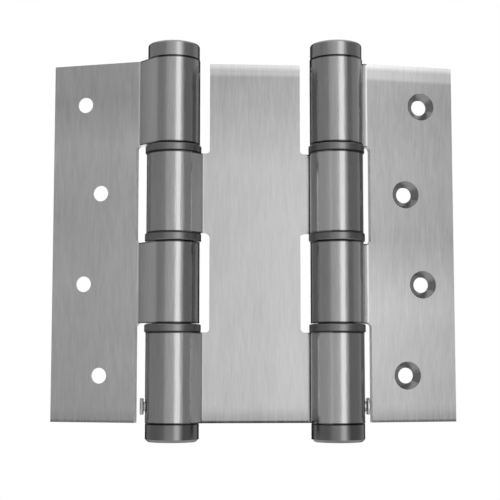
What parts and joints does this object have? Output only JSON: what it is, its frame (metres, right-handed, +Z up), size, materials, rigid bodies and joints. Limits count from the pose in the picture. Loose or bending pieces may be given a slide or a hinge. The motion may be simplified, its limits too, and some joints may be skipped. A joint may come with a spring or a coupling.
{
  "type": "double action spring hinge",
  "caption": "Spring hinge for a swing door: a centre leaf between sprung barrels, each with a screwed leaf, so that the door opens both ways and closes itself.",
  "frame": {"origin": "middle of the opened hinge: halfway between the two barrels, halfway up the leaves, 1.3 mm behind the middle of the centre leaf's sheet", "axes": "+X from the jamb barrel to the door barrel, +Y to the back, +Z up along the barrels"},
  "size_m": [0.1352, 0.0252, 0.1314],
  "materials": {
    "satin_sheet": "satin, brushed along the barrels",
    "turned_steel": "satin, turned",
    "dark_ring": "dark satin",
    "pin_steel": "ground",
    "spring_steel": "oiled"
  },
  "bodies": {
    "jamb_side": {"jamb_leaf": "satin_sheet", "jamb_top_cap": "turned_steel", "jamb_fixing_pin": "pin_steel"},
    "centre": {"centre_leaf": "satin_sheet", "jamb_upper_bush": "dark_ring", "jamb_middle_bush": "dark_ring", "jamb_lower_bush": "dark_ring", "jamb_spindle": "pin_steel", "jamb_spring": "spring_steel", "jamb_tension_cap": "turned_steel", "jamb_tension_pin": "pin_steel", "door_upper_bush": "dark_ring", "door_middle_bush": "dark_ring", "door_lower_bush": "dark_ring", "door_spindle": "pin_steel", "door_spring": "spring_steel", "door_tension_cap": "turned_steel", "door_tension_pin": "pin_steel"},
    "door_side": {"door_leaf": "satin_sheet", "door_top_cap": "turned_steel", "door_fixing_pin": "pin_steel"}
  },
  "joints": [
    {"name": "jamb_hinge", "type": "hinge", "parent": "jamb_side", "child": "centre", "pos_m": [-0.027, 0.00045, 0], "axis": [0, 0, 1], "range_deg": [-30, 162], "deforming": ["jamb_spring"]},
    {"name": "door_hinge", "type": "hinge", "parent": "centre", "child": "door_side", "pos_m": [0.027, -0.00305, 0], "axis": [0, 0, 1], "range_deg": [-190, 2], "deforming": ["door_spring"]}
  ]
}
